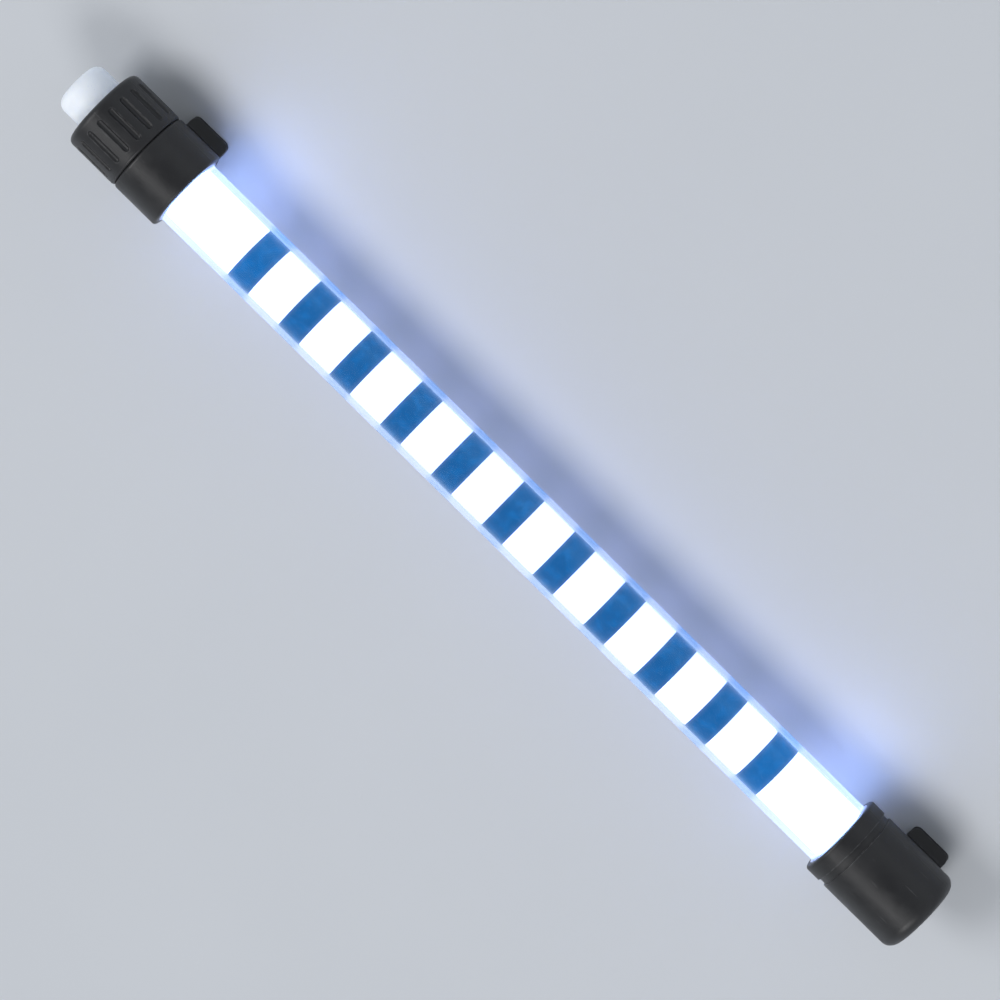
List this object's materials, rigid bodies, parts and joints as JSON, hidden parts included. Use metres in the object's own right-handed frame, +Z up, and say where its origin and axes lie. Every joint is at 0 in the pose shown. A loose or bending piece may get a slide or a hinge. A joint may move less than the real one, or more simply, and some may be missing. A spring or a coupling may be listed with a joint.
{
  "type": "spoke wheel light",
  "caption": "Tubular spoke light: a clear tube lit from both ends, with a barred film inside, black ends that clip along a wheel spoke, a pull-off switch cap and a white push button.",
  "frame": {"origin": "on the surface that the clip feet stand on, under the middle of the light's length", "axes": "+X along the tube and the spoke from the hub end with the button to the rim end, +Z up from the clip feet to the tube"},
  "size_m": [0.1754, 0.0138, 0.0177],
  "materials": {
    "clear_tube": "clear, polished",
    "white_film": "translucent white film, lit from both ends",
    "print_ink": "printed ink",
    "black_plastic": "fine moulded texture",
    "grey_rubber": "matt",
    "lamp_lens": "clear epoxy, lit",
    "tinned_lead": "tinned",
    "white_plastic": "satin",
    "circuit_board": "solder mask",
    "spring_steel": "plated",
    "contact_brass": "stamped",
    "cell_steel": "plated",
    "seal_rubber": "matt",
    "red_insulation": "extruded",
    "black_insulation": "extruded",
    "switch_plastic": "moulded",
    "chip_epoxy": "moulded",
    "resistor_body": "glazed",
    "button_silicone": "translucent silicone",
    "plunger_plastic": "moulded"
  },
  "bodies": {
    "light_body": {"light_tube": "clear_tube", "pattern_film": "white_film", "film_print": "print_ink", "battery_housing": "black_plastic", "hub_gasket": "grey_rubber", "hub_led": "lamp_lens", "hub_led_leads": "tinned_lead", "hub_led_holder": "white_plastic", "hub_board": "circuit_board", "contact_spring": "spring_steel", "contact_strip": "contact_brass", "inner_cell": "cell_steel", "outer_cell": "cell_steel", "cap_seal": "seal_rubber", "red_wire": "red_insulation", "black_wire": "black_insulation", "rim_cap": "black_plastic", "rim_gasket": "grey_rubber", "rim_led": "lamp_lens", "rim_led_leads": "tinned_lead", "rim_led_holder": "white_plastic", "rim_board": "circuit_board"},
    "cap_body": {"switch_cap": "black_plastic", "switch_board": "circuit_board", "cap_contacts": "contact_brass", "key_switch": "switch_plastic", "driver_chip": "chip_epoxy", "resistor": "resistor_body"},
    "button_body": {"push_button": "button_silicone", "switch_plunger": "plunger_plastic"}
  },
  "joints": [
    {"name": "cap_pull", "type": "slide", "parent": "light_body", "child": "cap_body", "axis": [-1, 0, 0], "range_m": [0, 0.012]},
    {"name": "button_press", "type": "slide", "parent": "cap_body", "child": "button_body", "axis": [1, 0, 0], "range_m": [0, 0.0007], "stiffness_N_per_m": 800}
  ]
}
